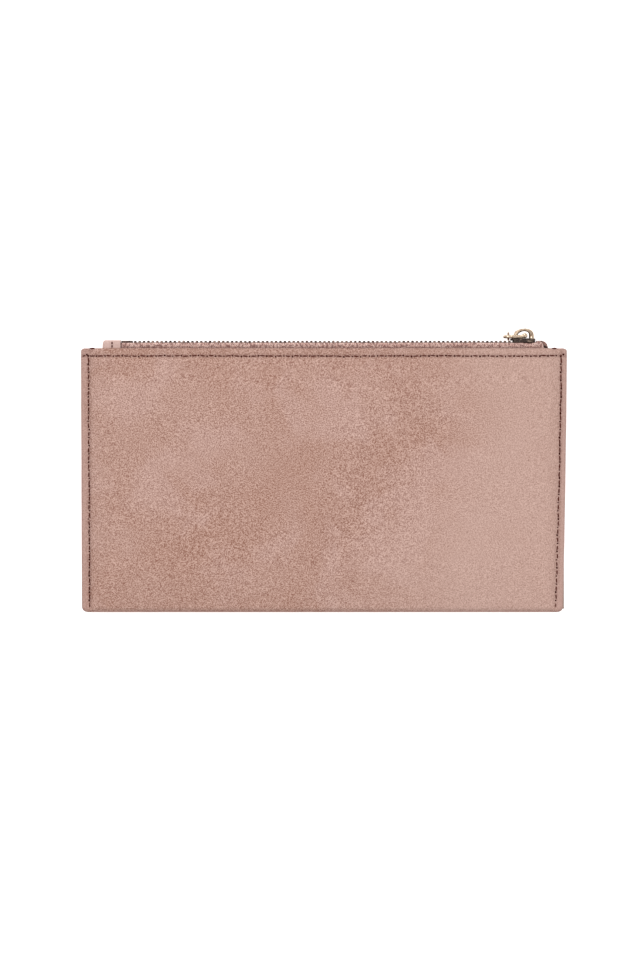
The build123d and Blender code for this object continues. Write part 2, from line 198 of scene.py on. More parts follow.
def makeWeaveGroup():
    # diagonal twill: ribs crossed by finer picks
    group = bpy.data.node_groups.new("twillWeave", "ShaderNodeTree")
    group.interface.new_socket("Place", in_out="INPUT", socket_type="NodeSocketVector")
    group.interface.new_socket("Ribs Per Metre", in_out="INPUT", socket_type="NodeSocketFloat")
    group.interface.new_socket("Rib", in_out="OUTPUT", socket_type="NodeSocketFloat")
    start = group.nodes.new("NodeGroupInput")
    end = group.nodes.new("NodeGroupOutput")
    scale = mathNode(group, "MULTIPLY", start.outputs["Ribs Per Metre"], 0.314)
    ribs = addNode(group, "ShaderNodeTexWave", {"Vector": start.outputs["Place"], "Scale": scale,
                                                "Distortion": 1.2, "Detail": 1.0},
                   wave_type="BANDS", bands_direction="DIAGONAL")
    picks = addNode(group, "ShaderNodeTexWave", {"Vector": start.outputs["Place"],
                                                 "Scale": mathNode(group, "MULTIPLY", scale, 1.9),
                                                 "Distortion": 0.8},
                    wave_type="BANDS", bands_direction="X")
    both = mathNode(group, "MULTIPLY", ribs.outputs["Fac"],
                    mathNode(group, "ADD", mathNode(group, "MULTIPLY", picks.outputs["Fac"], 0.5), 0.5))
    group.links.new(both, end.inputs["Rib"])
    return group


grainGroup = makeGrainGroup()
weaveGroup = makeWeaveGroup()


def attribute(tree, name):
    return addNode(tree, "ShaderNodeAttribute", attribute_name=name).outputs["Fac"]


def grain(tree, place, perMetre):
    node = addNode(tree, "ShaderNodeGroup", {"Place": place, "Per Metre": perMetre},
                   node_tree=grainGroup)
    return node.outputs["Speckle"], node.outputs["Height"]


def weave(tree, place, perMetre):
    node = addNode(tree, "ShaderNodeGroup", {"Place": place, "Ribs Per Metre": perMetre},
                   node_tree=weaveGroup)
    return node.outputs["Rib"]


def bumpNormal(tree, shader, height, strength, distance):
    node = addNode(tree, "ShaderNodeBump", {"Height": height, "Strength": strength,
                                            "Distance": distance})
    tree.links.new(node.outputs["Normal"], shader.inputs["Normal"])


suede = {
    "base": srgb(187, 145, 130),
    "brown": srgb(171, 122, 102),
    "middle": srgb(174, 128, 111),
    "pale": srgb(200, 166, 154),
    "rosy": srgb(200, 161, 150),
    "speck": srgb(106, 60, 46),
    "light": srgb(232, 200, 187),
    # painted shade colour for the seam grooves, the fold's edge and the leather under the tapes
    "paintedShade": srgb(92, 52, 44),
    "margin": srgb(183, 150, 141),
    "grainPerMetre": 2500.0,
    "paleFrom": 0.026,      # metres along the zip where the hide turns paler
    "paleTo": 0.062,
    "bandAt": 0.016,
}


def suedeMaterial():
    material, tree, shader = newMaterial("dustySuede")
    place = objectPlace(tree)
    cloud = noiseNode(tree, place, 26.0, 3.0, 0.55, 0.6)
    drift = noiseNode(tree, place, 9.0, 2.0, 0.5)
    position = addNode(tree, "ShaderNodeSeparateXYZ", {"Vector": place})
    # the hide is paler and calmer towards the closed end of the zip
    along = mathNode(tree, "ADD", position.outputs["X"],
                     mathNode(tree, "MULTIPLY", mathNode(tree, "SUBTRACT", drift, 0.5), 0.12))
    paleSide = remap(tree, along, suede["paleFrom"], suede["paleTo"])
    colour = mixColours(tree, remap(tree, cloud, 0.36, 0.66), suede["brown"], suede["base"])
    # soft upright streaks, browner in a band past the middle
    streak = noiseNode(tree, objectPlace(tree, (1, 0.16, 0.16)), 105.0, 3.0, 0.6)
    centre = mathNode(tree, "ABSOLUTE", mathNode(tree, "SUBTRACT", along, suede["bandAt"]))
    band = mathNode(tree, "MULTIPLY", remap(tree, centre, 0.012, 0.034, 0.9, 0.12),
                    remap(tree, streak, 0.4, 0.6))
    colour = mixColours(tree, band, colour, suede["middle"])
    rosyMask = remap(tree, noiseNode(tree, place, 40.0, 3.0, 0.55, 0.4), 0.5, 0.64, 0.0, 0.75)
    colour = mixColours(tree, rosyMask, colour, suede["rosy"])
    colour = mixColours(tree, mathNode(tree, "MULTIPLY", paleSide, 0.82), colour, suede["pale"])
    speckle, height = grain(tree, place, suede["grainPerMetre"])
    dark = mixColours(tree, 0.56, colour, suede["speck"])
    light = mixColours(tree, 0.56, colour, suede["light"])
    grainy = mixColours(tree, speckle, dark, light)
    colour = mixColours(tree, remap(tree, paleSide, 0.0, 1.0, 1.0, 0.66), colour, grainy)
    pepper = addNode(tree, "ShaderNodeTexVoronoi", {"Vector": place, "Scale": 420.0})
    dot = remap(tree, pepper.outputs["Distance"], 0.05, 0.16, 1.0, 0.0)
    sparse = remap(tree, noiseNode(tree, place, 160.0, 1.0), 0.48, 0.6, 0.0, 0.6)
    colour = mixColours(tree, mathNode(tree, "MULTIPLY", dot, sparse), colour, suede["speck"])
    paintedShade = attribute(tree, "paintedShade")
    margin = attribute(tree, "margin")
    colour = mixColours(tree, mathNode(tree, "MULTIPLY", margin, 0.6), colour, suede["margin"])
    # painted shade in the seams, along the fold and under the tapes, broken up a little by the grain
    shadeThroughGrain = mathNode(tree, "MULTIPLY", paintedShade, remap(tree, speckle, 0.0, 1.0, 1.0, 0.7))
    colour = mixColours(tree, shadeThroughGrain, colour, suede["paintedShade"])
    tree.links.new(colour, shader.inputs["Base Color"])
    tree.links.new(remap(tree, speckle, 0.0, 1.0, 0.95, 0.84), shader.inputs["Roughness"])
    shader.inputs["Specular IOR Level"].default_value = 0.2
    shader.inputs["Sheen Weight"].default_value = 0.1
    shader.inputs["Sheen Roughness"].default_value = 0.5
    bumpNormal(tree, shader, height, 0.7, 0.0003)
    return material


tabLook = {
    "grainPerMetre": 1400.0,
    "base": srgb(188, 155, 145),
    "pale": srgb(206, 174, 165),
    "light": srgb(222, 196, 187),
}


def tabMaterial():
    material, tree, shader = newMaterial("paleTabLeather")
    place = objectPlace(tree)
    speckle, height = grain(tree, place, tabLook["grainPerMetre"])
    tone = mixColours(tree, noiseNode(tree, place, 180.0, 2.0), tabLook["base"], tabLook["pale"])
    colour = mixColours(tree, mathNode(tree, "MULTIPLY", speckle, 0.3), tone, tabLook["light"])
    tree.links.new(colour, shader.inputs["Base Color"])
    tree.links.new(remap(tree, speckle, 0.0, 1.0, 0.75, 0.6), shader.inputs["Roughness"])
    bumpNormal(tree, shader, height, 0.4, 0.0002)
    return material


threadLook = {
    "dark": srgb(52, 18, 13),
    "base": srgb(94, 45, 37),
    "light": srgb(100, 52, 44),
    # painted shade colour for the needle holes
    "hole": srgb(62, 22, 15),
    "twistScale": 900.0,
}


def threadMaterial():
    material, tree, shader = newMaterial("maroonThread")
    place = objectPlace(tree)
    twist = addNode(tree, "ShaderNodeTexWave", {"Vector": place, "Scale": threadLook["twistScale"],
                                                "Distortion": 0.6},
                    wave_type="BANDS", bands_direction="DIAGONAL")
    shade = noiseNode(tree, place, 500.0, 2.0)
    colour = mixColours(tree, shade, threadLook["dark"], threadLook["base"])
    ridge = mathNode(tree, "MULTIPLY", twist.outputs["Fac"], 0.4)
    colour = mixColours(tree, ridge, colour, threadLook["light"])
    # painted shade: the thread's ends, where they dive into the needle holes, and the holes themselves
    # are painted dark
    holeShade = attribute(tree, "holeShade")
    colour = mixColours(tree, holeShade, colour, threadLook["hole"])
    tree.links.new(colour, shader.inputs["Base Color"])
    tree.links.new(remap(tree, shade, 0.3, 0.7, 0.6, 0.85), shader.inputs["Roughness"])
    shader.inputs["Specular IOR Level"].default_value = 0.03
    bumpNormal(tree, shader, twist.outputs["Fac"], 0.6, 0.00008)
    return material


tapeLook = {
    "ribsPerMetre": 2400.0,
    "base": srgb(216, 174, 162),
    "pale": srgb(250, 218, 206),
    "groove": srgb(122, 76, 68),
    "fleck": srgb(104, 60, 54),
    # painted shade colour for the tape's foot, the end tab's edge and the back tape's end
    "paintedShade": srgb(90, 54, 48),
}


def tapeMaterial():
    material, tree, shader = newMaterial("wovenZipTape")
    place = objectPlace(tree)
    rib = weave(tree, place, tapeLook["ribsPerMetre"])
    shade = noiseNode(tree, place, 700.0, 3.0, 0.65)
    fleck = noiseNode(tree, objectPlace(tree, (1, 0.7, 1)), 1300.0, 2.0, 0.6)
    colour = mixColours(tree, remap(tree, shade, 0.35, 0.65), tapeLook["base"], tapeLook["pale"])
    colour = mixColours(tree, remap(tree, rib, 0.0, 0.8, 0.5, 0.0), colour, tapeLook["groove"])
    colour = mixColours(tree, remap(tree, fleck, 0.47, 0.57, 0.0, 0.75), colour, tapeLook["fleck"])
    # painted shade at the tape's foot, along the end tab and at the back tape's end
    paintedShade = attribute(tree, "paintedShade")
    colour = mixColours(tree, paintedShade, colour, tapeLook["paintedShade"])
    tree.links.new(colour, shader.inputs["Base Color"])
    tree.links.new(remap(tree, rib, 0.0, 1.0, 0.95, 0.8), shader.inputs["Roughness"])
    bumpNormal(tree, shader, rib, 0.7, 0.00015)
    return material


liningLook = {
    "ribsPerMetre": 2600.0,
    "base": srgb(146, 118, 100),
    "pale": srgb(170, 142, 122),
    "groove": srgb(96, 72, 60),
}


def liningMaterial():
    material, tree, shader = newMaterial("wovenLining")
    place = objectPlace(tree)
    rib = weave(tree, place, liningLook["ribsPerMetre"])
    shade = noiseNode(tree, place, 60.0, 3.0)
    colour = mixColours(tree, shade, liningLook["base"], liningLook["pale"])
    colour = mixColours(tree, remap(tree, rib, 0.0, 0.8, 0.4, 0.0), colour, liningLook["groove"])
    tree.links.new(colour, shader.inputs["Base Color"])
    tree.links.new(remap(tree, rib, 0.0, 1.0, 0.8, 0.6), shader.inputs["Roughness"])
    bumpNormal(tree, shader, rib, 0.5, 0.0001)
    return material


boardLook = {
    "fibresPerMetre": 500.0,
    "base": srgb(156, 138, 112),
    "pale": srgb(186, 170, 144),
}


def boardMaterial():
    material, tree, shader = newMaterial("stiffeningBoard")
    place = objectPlace(tree, (1, 3, 1))
    fibre = noiseNode(tree, place, boardLook["fibresPerMetre"], 4.0, 0.6)
    colour = mixColours(tree, fibre, boardLook["base"], boardLook["pale"])
    tree.links.new(colour, shader.inputs["Base Color"])
    tree.links.new(remap(tree, fibre, 0.3, 0.7, 0.95, 0.8), shader.inputs["Roughness"])
    bumpNormal(tree, shader, fibre, 0.3, 0.0001)
    return material


brassLook = {
    "scratch": srgb(228, 212, 190),
    # painted shade colour for one side of a bar
    "paintedSideShade": srgb(48, 38, 36),
    "patinaBlend": 0.12,
}


def brassMaterial(name, bright, dark, patina):
    material, tree, shader = newMaterial(name)
    place = objectPlace(tree)
    cloud = noiseNode(tree, place, 420.0, 3.0, 0.6, 0.4)
    scratch = noiseNode(tree, objectPlace(tree, (1, 6, 6)), 900.0, 2.0, 0.6)
    worn = remap(tree, cloud, patina - brassLook["patinaBlend"], patina + brassLook["patinaBlend"])
    colour = mixColours(tree, worn, dark, bright)
    colour = mixColours(tree, remap(tree, scratch, 0.55, 0.75, 0.0, 0.35), colour, brassLook["scratch"])
    # painted shade on the inner edge of the bail's arch
    paintedSideShade = attribute(tree, "paintedSideShade")
    colour = mixColours(tree, paintedSideShade, colour, brassLook["paintedSideShade"])
    tree.links.new(colour, shader.inputs["Base Color"])
    shader.inputs["Metallic"].default_value = 1.0
    tree.links.new(remap(tree, worn, 0.0, 1.0, 0.46, 0.24), shader.inputs["Roughness"])
    bumpNormal(tree, shader, mathNode(tree, "ADD", cloud, mathNode(tree, "MULTIPLY", scratch, 0.4)),
               0.25, 0.00006)
    return material


materials = {
    "suede": suedeMaterial(),
    "tab_leather": tabMaterial(),
    "thread": threadMaterial(),
    "tape": tapeMaterial(),
    "lining": liningMaterial(),
    "board": boardMaterial(),
    "teeth_metal": brassMaterial("darkBrassTeeth", srgb(126, 104, 94), srgb(56, 43, 40), 0.56),
    "slider_metal": brassMaterial("antiqueBrass", srgb(212, 190, 166), srgb(116, 90, 74), 0.45),
}
gunmetal = brassMaterial("agedSliderPlate", srgb(142, 124, 110), srgb(60, 50, 48), 0.6)
print("materials ready:", len(materials) + 1)


wrap = {
    "margin": 3.9,          # flat strip along each side
    "marginHalf": 1.15,
    "roll": 12.6,
    "crown": 0.05,
    "foldRadius": 3.2,
    "foldRise": 25.5,
    "mouthEase": 23.5,
    "mouthHalf": 4.7,
    "hemThick": 1.4,
    "hemInside": 9.0,
    "topSeam": 3.2,         # mouth's edge to the stitches
    "leftSeam": (3.0, 3.1),     # side's edge to the stitches, at the top and at the bottom
    "rightSeam": (2.15, 2.9),
    "leftLean": 0.4,        # how far each side comes in at the bottom
    "rightLean": 1.6,
    "bottomCorner": 2.2,
    "topCorner": 1.3,
    "topPitch": 3.45,
    "sidePitch": 3.3,
    "seamWave": 0.24,       # how far the top seam strays from straight
    "edgeWave": 0.12,
    "topDip": 0.34,         # depth of the channel along each seam
    "sideDip": 0.22,
    "columns": 172,
    "rowStep": 1.22,
    "fineFrom": 8.1,        # below the mouth, where rows get closer
    "foldSteps": 7,
    "fineSteps": 14,
    "hemSteps": 8,
    "insideSteps": 5,
    "wall": 0.9,
    "insideThin": 0.42,     # share of the wall that is left out near the hem
}

h = halfThick / mm
top = mouthY / mm
base = baseY / mm
sideX = wrapHigh.x / mm
drop = h + wrap["crown"] - wrap["marginHalf"]
sideRadius = (wrap["roll"] ** 2 + drop ** 2) / (2 * drop)
easeDrop = h - wrap["mouthHalf"]
easeRadius = (wrap["mouthEase"] ** 2 + easeDrop ** 2) / (2 * easeDrop)
hemStart = top - wrap["hemThick"] / 2
foldCentre = base + wrap["foldRadius"]
riseY = base + wrap["foldRise"]
riseSpan = riseY - foldCentre
riseRadius = (riseSpan ** 2 + h ** 2 - wrap["foldRadius"] ** 2) / (2 * (h - wrap["foldRadius"]))


def edgeX(side, y):
    # the side edges come in a little towards the fold and aren't quite straight
    lean = wrap["rightLean"] if side > 0 else wrap["leftLean"]
    t = max((top - y) / (top - base), 0)
    wave = wrap["edgeWave"] * wander(side * 50, y, 22, 3.0) * smooth(t, 0, 0.1)
    return side * (sideX - lean * t ** 1.4 - abs(wave))


def seamInset(side, y):
    low, high = wrap["rightSeam"] if side > 0 else wrap["leftSeam"]
    return low + (high - low) * (top - y) / (top - base)


def topSeamY(x):
    return top - wrap["topSeam"] + wrap["seamWave"] * wander(x, 0, 17, 11)


def sideSeamX(side, y):
    return edgeX(side, y) - side * seamInset(side, y)


def acrossHalf(x, y):
    side = 1 if x > 0 else -1
    distance = abs(edgeX(side, y)) - abs(x)
    margin = wrap["marginHalf"]
    into = distance - wrap["margin"] * 0.9
    if into <= 0:
        return margin
    reach = wrap["roll"] - min(into, wrap["roll"])
    return h + wrap["crown"] - sideRadius + math.sqrt(sideRadius ** 2 - reach ** 2)


def upHalf(y):
    if y < foldCentre:
        return math.sqrt(max(wrap["foldRadius"] ** 2 - (y - foldCentre) ** 2, 0))
    if y < riseY:
        return h - riseRadius + math.sqrt(riseRadius ** 2 - (riseY - y) ** 2)
    easeY = top - wrap["mouthEase"]
    if y > easeY:
        return h - easeRadius + math.sqrt(easeRadius ** 2 - (y - easeY) ** 2)
    return h


def softMin(a, b, blend=0.35):
    difference = max(blend - abs(a - b), 0) / blend
    return min(a, b) - difference * difference * blend * 0.25


def seamDip(distance, along, pitch, depth):
    # leather pulled down along a seam, most at the needle holes
    holes = 0.5 + 0.5 * math.cos(2 * math.pi * along / pitch)
    return depth * bump(distance, 0, 0.75) * (0.55 + 0.45 * holes)


def panelHalf(x, y, face):
    value = softMin(acrossHalf(x, y), upHalf(y))
    inner = smooth(h - abs(h - value), h * 0.45, h * 0.95)
    seed = 7.0 if face > 0 else 19.0
    if face > 0:
        value += 0.32 * inner * wander(x, y, 46, seed) + 0.1 * inner * wander(x, y, 17, seed + 5)
    else:
        value -= 0.12 * inner * abs(wander(x, y, 40, seed))
    seamY = topSeamY(x)
    value -= seamDip(y - seamY, x, wrap["topPitch"], wrap["topDip"])
    value += 0.16 * bump(y, top - 1.5, 0.9) + 0.14 * bump(y, seamY - 2.4, 1.6)
    side = 1 if x > 0 else -1
    seamX = sideSeamX(side, y)
    fade = smooth(y, base + 1.0, base + 4.0) * (1 - smooth(y, seamY - 1.0, seamY + 0.5))
    value -= fade * seamDip(x - seamX, y, wrap["sidePitch"], wrap["sideDip"])
    return value


def roundCorner(x, y, side):
    # bring a point near a corner of the margin inside that corner's round
    for radius, cornerY, turn in ((wrap["bottomCorner"], base, 1), (wrap["topCorner"], top, -1)):
        a = (radius - (abs(edgeX(side, y)) - abs(x))) / radius
        b = (radius - turn * (y - cornerY)) / radius
        if a > 0 and b > 0:
            shrink = max(a, b) / math.hypot(a, b)
            x -= side * radius * a * (1 - shrink)
            y += turn * radius * b * (1 - shrink)
    return x, y


def paintedShadeAt(x, y):
    # painted shade: how dark the leather is painted in its seam grooves, where the fold rolls away and
    # under the tapes
    side = 1 if x > 0 else -1
    seamY = topSeamY(x)
    seamX = sideSeamX(side, y)
    value = 0.42 * bump(y, seamY, 0.7)
    value = max(value, 0.5 * bump(x, seamX, 0.6) * smooth(y, base + 1, base + 4))
    value = max(value, 0.5 * smooth(-y, -(base + 2.2), -base))
    return max(value, 0.3 * bump(y, top - 0.1, 0.5), 0.07 * smooth(y, top - 3, top - 2.4))


def wrapRows():
    # rows from the fold's middle to the inside of the hem; the other face mirrors them
    steps, fine = wrap["foldSteps"], wrap["fineSteps"]
    rows = [("fold", math.radians(90 * k / steps)) for k in range(steps + 1)]
    y = foldCentre
    while y < top - wrap["fineFrom"]:
        y += wrap["rowStep"]
        rows.append(("panel", y))
    rows += [("panel", y + (hemStart - y) * k / fine) for k in range(1, fine + 1)]
    steps = wrap["hemSteps"]
    rows += [("hem", math.pi * k / steps) for k in range(1, steps + 1)]
    steps = wrap["insideSteps"]
    rows += [("inside", hemStart - wrap["hemInside"] * k / steps) for k in range(1, steps + 1)]
    return rows


def wrapPoint(column, row, rows, face):
    kind, value = rows[row]
    if kind == "fold":
        y = foldCentre - wrap["foldRadius"] * math.cos(value)
    elif kind == "hem":
        y = hemStart
    else:
        y = value
    left, right = edgeX(-1, y), edgeX(1, y)
    x = left + (right - left) * column / wrap["columns"]
    side = 1 if column * 2 > wrap["columns"] else -1
    if kind == "fold":
        # the fold's middle row is shared by both faces, so it stays on the mid-plane
        foldHalf = wrap["foldRadius"] * math.sin(value)
        z = max(softMin(acrossHalf(x, y), foldHalf, 0.2), 0.0) if value > 0.01 else 0.0
    elif kind == "panel":
        z = panelHalf(x, y, face)
    else:
        outer = panelHalf(x, min(y, hemStart), face)
        thick = min(wrap["hemThick"], outer - 0.18)
        if kind == "hem":
            z = outer - thick / 2 + thick / 2 * math.cos(value)
            y = hemStart + wrap["hemThick"] / 2 * math.sin(value)
        else:
            z = outer - thick
    cornerX, cornerY = roundCorner(x, y, side)
    return Vector((cornerX * mm, cornerY * mm, midZ + face * z * mm))


def makeWrap():
    rows = wrapRows()
    last = len(rows) - 1

    def place(column, row):
        # rows run from the front hem, round the fold, to the back hem
        face = 1 if row >= last else -1
        return wrapPoint(column, abs(row - last), rows, face)

    bm = sheetGrid(wrap["columns"], 2 * last, place)
    bm.faces.ensure_lookup_table()
    topFace = max(bm.faces, key=lambda f: f.calc_center_median().z)
    if topFace.normal.z < 0:
        bmesh.ops.reverse_faces(bm, faces=bm.faces)
    hemY = (top - wrap["hemInside"]) * mm
    layer = bm.verts.layers.deform.verify()
    paintedShade = bm.verts.layers.float.new("paintedShade")
    margin = bm.verts.layers.float.new("margin")
    for vert in bm.verts:
        x, y = vert.co.x / mm, vert.co.y / mm
        side = 1 if x > 0 else -1
        edge = abs(edgeX(side, y))
        # painted shade in the seams, along the fold and under the tapes
        vert[paintedShade] = paintedShadeAt(x, y)
        vert[margin] = smooth(abs(x), edge - seamInset(side, y) - 0.1, edge - 1.6)
        closed = smooth(vert.co.y, hemY, hemY + 2 * mm)
        vert[layer][0] = 1.0 - wrap["insideThin"] * closed
    obj = finish("suedeWrap", bm, materials["suede"], "pouch")
    obj.vertex_groups.new(name="wall")
    solidify(obj, wrap["wall"] * mm, "wall")
    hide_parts("leather_wrap")


makeWrap()
print("wrap made")


stitch = {
    "length": 3.35,
    "width": 0.72,
    "height": 0.6,
    "sink": 0.1,
    "holeWidth": 0.95,
    "endLean": 24,          # the top seam's last stitches turn by this and are this long
    "endLength": 2.2,
}


def stitchPoint(x, y, face):
    # a place on the leather and its slopes
    step = 0.4
    z = panelHalf(x, y, face)
    slopeX = (panelHalf(x + step, y, face) - panelHalf(x - step, y, face)) / (2 * step)
    slopeY = (panelHalf(x, y + step, face) - panelHalf(x, y - step, face)) / (2 * step)
    return z, slopeX, slopeY


def addStitch(bm, x, y, face, angle, length, hole):
    # a dash of thread and, at its end, a dark blob of painted shade that stands for the needle hole
    addDash(bm, x, y, face, angle, length, stitch["width"], 0.0)
    if hole:
        end = length / 2 + 0.05
        addDash(bm, x + end * math.cos(angle), y + end * math.sin(angle), face, angle, hole,
                stitch["holeWidth"], 1.0)


def addDash(bm, x, y, face, angle, length, width, dark):
    holeShade = bm.verts.layers.float.get("holeShade") or bm.verts.layers.float.new("holeShade")
    made = bmesh.ops.create_uvsphere(bm, u_segments=8, v_segments=7, radius=0.5)["verts"]
    z, slopeX, slopeY = stitchPoint(x, y, face)
    for vert in made:
        # the sphere's poles become the stitch's ends, which dive into the leather
        # painted shade: the dash's ends, and the whole hole blob, are marked dark
        vert[holeShade] = max(dark, 0.8 * smooth(abs(vert.co.z), 0.36, 0.5))
        alongIt = vert.co.z * length
        across = vert.co.x * width
        up = vert.co.y * stitch["height"] - 0.5 * (2 * vert.co.z) ** 4 * stitch["height"]
        px = alongIt * math.cos(angle) - across * math.sin(angle)
        py = alongIt * math.sin(angle) + across * math.cos(angle)
        lift = z + slopeX * px + slopeY * py + up - stitch["sink"]
        vert.co = Vector(((x + px) * mm, (y + py) * mm, midZ + face * lift * mm))


def seamObject(name, node, bm):
    bmesh.ops.recalc_face_normals(bm, faces=bm.faces)
    obj = finish(name, bm, materials["thread"], "pouch")
    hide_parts(node)


def topSeam(face, name, node):
    bm = bmesh.new()
    dice = random.Random(11 if face > 0 else 12)
    pitch = wrap["topPitch"]
    count = int(2 * sideX // pitch) + 1
    for k in range(count):
        x = (k - (count - 1) / 2 + 0.33) * pitch
        if abs(x) > sideX - 1.2:
            continue
        y = topSeamY(x)
        lean = math.radians(dice.uniform(-8, 4))
        length = stitch["length"] * dice.uniform(0.86, 1.0)
        if abs(x) > sideX - 2.5:
            lean, length = math.radians(stitch["endLean"]), stitch["endLength"]
        addStitch(bm, x, y + dice.uniform(-0.1, 0.1), face, lean, length, dice.uniform(0.6, 1.3))
    # loose ends of the side seams' thread, lying on the hem's edge
    for x in (4.5 - sideX, sideX - 5.2):
        addStitch(bm, x, top - 0.12, face, math.radians(2), 2.3, 0)
    seamObject(name, node, bm)


def sideSeam(side, name, node):
    bm = bmesh.new()
    dice = random.Random(21 + side)
    pitch = wrap["sidePitch"]
    y = top - wrap["topSeam"] - pitch / 2
    while y > base + 2.2:
        x = sideSeamX(side, y)
        for face in (1, -1):
            lean = math.radians(90 + dice.uniform(-6, 6))
            addStitch(bm, x + dice.uniform(-0.12, 0.12), y, face, lean,
                      stitch["length"] * dice.uniform(0.9, 1.0), dice.uniform(0.7, 1.6))
        y -= pitch
    seamObject(name, node, bm)


topSeam(1, "topStitchesBack", "top_seam_thread_back")
topSeam(-1, "topStitchesFront", "top_seam_thread_front")
sideSeam(-1, "sideStitchesLeft", "side_seam_thread_left")
sideSeam(1, "sideStitchesRight", "side_seam_thread_right")
print("stitches made")


tape = {
    "columns": 300,
    "thick": 0.4,
    "faceHalf": 3.3,
    "topY": 55.72,
    "bend": 1.0,
    "left": -88.0,
    "rightBack": 89.4,
    "rightFront": 91.0,
    "endRound": 3.0,
    "insideDepth": 7.0,
    "tabShadeX": -82.15,        # where painted shade lies along the end tab's edge
    "lobe": (84.5, 88.0, 0.8),      # the end's rise: from, to, height
    "pinch": (87.2, 89.4),
    "bead": [(0.05, 1.75), (0.12, 1.1), (-0.02, 0.62)],
}


def roundBend(high, half, bend, steps=6):
    # a quarter turn from upright to level, as (y, z)
    turns = [math.pi / 2 * k / steps for k in range(steps + 1)]
    return [(high - bend + bend * math.sin(turn), half - bend + bend * math.cos(turn))
            for turn in turns]


def tapePath():
    # the tape's outer face from inside the hem, over the top, to the bead, as (y, z)
    half, bend, high = tape["faceHalf"], tape["bend"], tape["topY"]
    path = [(top - tape["insideDepth"], half + 0.45), (top - 3.5, half + 0.2)]
    path += [(top + up, half) for up in (-1.5, 0, 0.45, 0.9)]
    path += roundBend(high, half, bend)
    return path + [(high + up, z) for up, z in tape["bead"]]


def tapeObject(face, name, node):
    path = tapePath()
    right = tape["rightBack"] if face > 0 else tape["rightFront"]
    lobeFrom, lobeTo, lobeRise = tape["lobe"]
    pinch = 1.9 if face > 0 else 3.0

    def place(column, row):
        x = tape["left"] + (right - tape["left"]) * column / tape["columns"]
        y, z = path[row]
        above = smooth(y, top - 0.5, top + 1.5)
        # the tape's end stands a little higher, then rounds down into the hem
        y += above * lobeRise * smooth(x, lobeFrom, lobeTo)
        y += above * 0.07 * wander(x, face * 9, 5, 2.0)
        z += above * 0.1 * wander(x, face * 9, 7, 4.0)
        past = max(x - (right - tape["endRound"]), 0) / tape["endRound"]
        height = max(y - top, 0)
        y -= height * (1 - math.sqrt(max(1 - past ** 2, 0)))
        inward = smooth(x, *tape["pinch"]) * pinch * above
        return Vector((x * mm, y * mm, midZ + face * max(z - inward, 0.3) * mm))

    bm = sheetGrid(tape["columns"], len(path) - 1, place)
    paintedShade = bm.verts.layers.float.new("paintedShade")
    # painted shade: a dark line along the tape's foot, beside the end tab and at the back tape's end
    for vert in bm.verts:
        x, y = vert.co.x / mm, vert.co.y / mm
        shadeWobble = 0.7 + 0.3 * wander(x * 3, y, 2.5, 6.0)
        low = (0.75 if face > 0 else 0.3) * bump(y, top + 0.15, 0.4) * shadeWobble
        end = (0.5 if face > 0 else 0.0) * bump(x, right - 0.1, 0.3)
        vert[paintedShade] = max(low, 0.85 * bump(x, tape["tabShadeX"], 0.4), end)
    bm.faces.ensure_lookup_table()
    outside = max(bm.faces, key=lambda f: face * f.calc_center_median().z)
    if outside.normal.z * face < 0:
        bmesh.ops.reverse_faces(bm, faces=bm.faces)
    obj = finish(name, bm, materials["tape"], "pouch")
    solidify(obj, tape["thick"] * mm)
    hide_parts(node)


tapeObject(1, "zipTapeBack", "zipper_tape_back")
tapeObject(-1, "zipTapeFront", "zipper_tape_front")
print("tapes made")


def bridge(bm, first, second):
    # faces between two closed rings of points
    count = len(first)
    for j in range(count):
        after = (j + 1) % count
        bm.faces.new((first[j], first[after], second[after], second[j]))


def tubeAlong(bm, path, halves, closed=False, sides=12, power=2.6, shadeSide=0):
    # a rounded bar along a path of (centre, outward, across); one side can be painted dark as shade
    paintedSideShade = bm.verts.layers.float.get("paintedSideShade") or bm.verts.layers.float.new("paintedSideShade")
    count = len(path)
    rings = []
    for k, (centre, outward, across) in enumerate(path):
        halfOut, halfAcross = halves(k / max(count - 1, 1))
        ring = []
        for j in range(sides):
            angle = 2 * math.pi * (j + 0.5) / sides
            c, d = math.cos(angle), math.sin(angle)
            size = (abs(c) ** power + abs(d) ** power) ** (-1 / power)
            point = centre + outward * (c * size * halfOut) + across * (d * size * halfAcross)
            vert = bm.verts.new(Vector((point.x * mm, point.y * mm, midZ + point.z * mm)))
            # painted shade on the chosen side of the bar
            vert[paintedSideShade] = 0.9 * smooth(c * shadeSide, 0.45, 0.8)
            ring.append(vert)
        rings.append(ring)
    pairs = list(zip(rings, rings[1:]))
    if closed:
        pairs.append((rings[-1], rings[0]))
    for first, second in pairs:
        bridge(bm, first, second)
    if not closed:
        for ring in (rings[0], rings[-1]):
            bm.faces.new(ring)


def curvePath(points, steps, normal):
    # a smooth path through flat points, with each place's outward and across directions
    ends = [points[0] * 2 - points[1]] + points + [points[-1] * 2 - points[-2]]
    places = []
    for k in range(len(points) - 1):
        a, b, c, d = ends[k:k + 4]
        for j in range(steps):
            t = j / steps
            places.append(0.5 * (2 * b + (c - a) * t + (2 * a - 5 * b + 4 * c - d) * t * t
                                 + (3 * b - a - 3 * c + d) * t ** 3))
    places.append(points[-1])
    path = []
    for k, place in enumerate(places):
        ahead = places[min(k + 1, len(places) - 1)] - places[max(k - 1, 0)]
        path.append((place, ahead.cross(normal).normalized(), normal))
    return path


def metalObject(name, bm, material, body, node):
    bmesh.ops.recalc_face_normals(bm, faces=bm.faces)
    obj = finish(name, bm, material, body)
    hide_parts(node)


